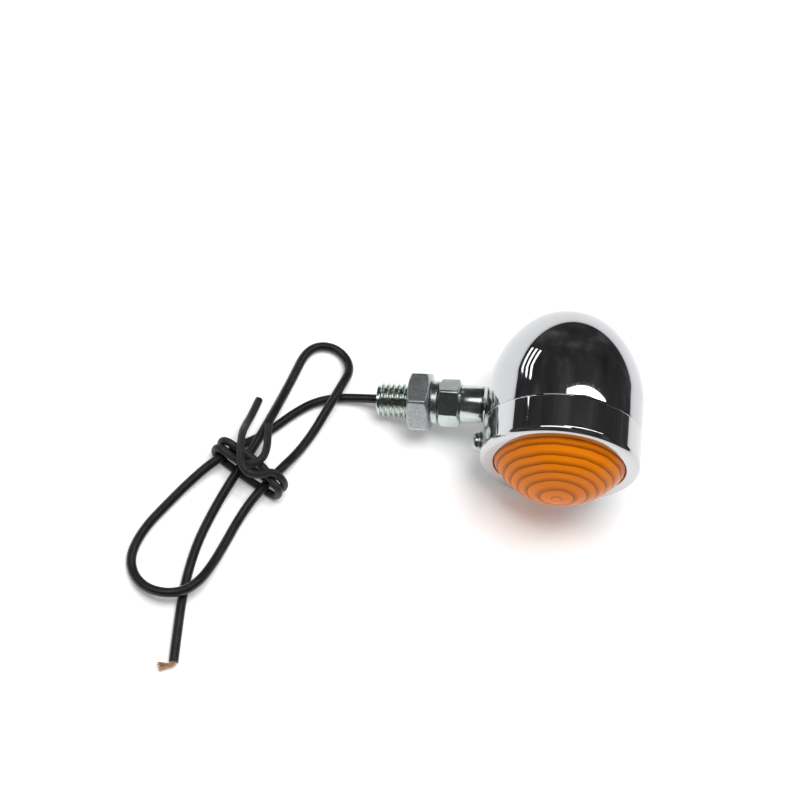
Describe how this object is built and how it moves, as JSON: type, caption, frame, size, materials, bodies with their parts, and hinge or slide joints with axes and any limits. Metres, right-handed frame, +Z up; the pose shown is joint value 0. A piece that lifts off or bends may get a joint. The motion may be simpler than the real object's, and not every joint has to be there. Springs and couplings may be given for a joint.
{
  "type": "turn signal indicator",
  "caption": "Bullet-shaped chrome turn signal lamp with an amber domed lens in a screwed-on bezel, a hollow threaded mounting stem with nut and lock washer, and a tied hank of lead.",
  "frame": {"origin": "on the table, under the middle of the lamp's bounding box, the free lead left out", "axes": "+Z up; the lens faces -Y and the mounting stem points along -X, dipping 20 degrees to rest on its nut"},
  "size_m": [0.133, 0.1191, 0.0445],
  "materials": {
    "chrome_body": "mirror plated",
    "chrome_bezel": "mirror plated",
    "amber_lens": "clear amber, ribbed inside",
    "gasket_rubber": "matt",
    "reflector_bright": "bright dipped",
    "socket_plated": "nickel plated",
    "fibre_disc": "fibre",
    "contact_brass": "bright",
    "lead_pvc": "semi matt",
    "spring_steel": "plain",
    "bulb_glass": "clear",
    "bulb_cap_brass": "satin",
    "filament_wire": "dark",
    "solder": "dull",
    "zinc_plate": "bright zinc",
    "washer_steel": "bright zinc",
    "nut_zinc": "bright zinc",
    "screw_plate": "plated",
    "copper_strands": "bare copper",
    "tie_pvc": "matt"
  },
  "bodies": {
    "housing": {"housing_shell": "chrome_body", "reflector_plate": "reflector_bright", "bulb_socket": "socket_plated", "stem": "zinc_plate", "stem_inner_nut": "zinc_plate", "stem_tooth_washer": "zinc_plate", "contact_spring": "spring_steel", "lead_inner": "lead_pvc", "lead_tube": "lead_pvc", "lead_strands": "copper_strands", "hank_tie": "tie_pvc"},
    "washer": {"lock_washer": "washer_steel"},
    "nut": {"mounting_nut": "nut_zinc"},
    "bezel": {"bezel_ring": "chrome_bezel", "lens": "amber_lens", "lens_gasket": "gasket_rubber"},
    "screw_washer": {"screw_washer": "washer_steel"},
    "screw": {"bezel_screw": "screw_plate"},
    "bulb": {"bulb_glass": "bulb_glass", "bulb_base": "bulb_cap_brass", "bulb_mount": "bulb_glass", "bulb_filament": "filament_wire", "bulb_contact": "solder"},
    "contact": {"contact_plunger": "contact_brass", "socket_disc": "fibre_disc", "contact_wire": "lead_pvc"}
  },
  "joints": [
    {"name": "nut_travel", "type": "slide", "parent": "housing", "child": "washer", "axis": [-0.9415, 0, -0.337], "range_m": [0, 0.007]},
    {"name": "nut_spin", "type": "hinge", "parent": "washer", "child": "nut", "pos_m": [-0.02379, -0.00055, 0.00853], "axis": [-0.9415, 0, -0.337], "range_deg": [0, 1700]},
    {"name": "bezel_slide", "type": "slide", "parent": "housing", "child": "bezel", "axis": [0, -1, 0], "range_m": [0, 0.012]},
    {"name": "screw_travel", "type": "slide", "parent": "bezel", "child": "screw_washer", "axis": [-0.9415, 0, -0.337], "range_m": [0, 0.0011]},
    {"name": "screw_spin", "type": "hinge", "parent": "screw_washer", "child": "screw", "pos_m": [-0.00807, -0.01245, 0.01416], "axis": [-0.9415, 0, -0.337], "range_deg": [0, 800]},
    {"name": "bulb_push", "type": "slide", "parent": "housing", "child": "bulb", "axis": [0, 1, 0], "range_m": [0, 0.002], "stiffness_N_per_m": 400, "springref_m": -0.004},
    {"name": "contact_push", "type": "slide", "parent": "housing", "child": "contact", "axis": [0, 1, 0], "range_m": [0, 0.0021], "deforming": ["contact_spring"]}
  ],
  "couplings": [
    {"joint": "nut_spin", "follows": "nut_travel", "rad_per_m": 4188.8},
    {"joint": "screw_spin", "follows": "screw_travel", "rad_per_m": 12566},
    {"joint": "contact_push", "follows": "bulb_push", "ratio": 1}
  ]
}
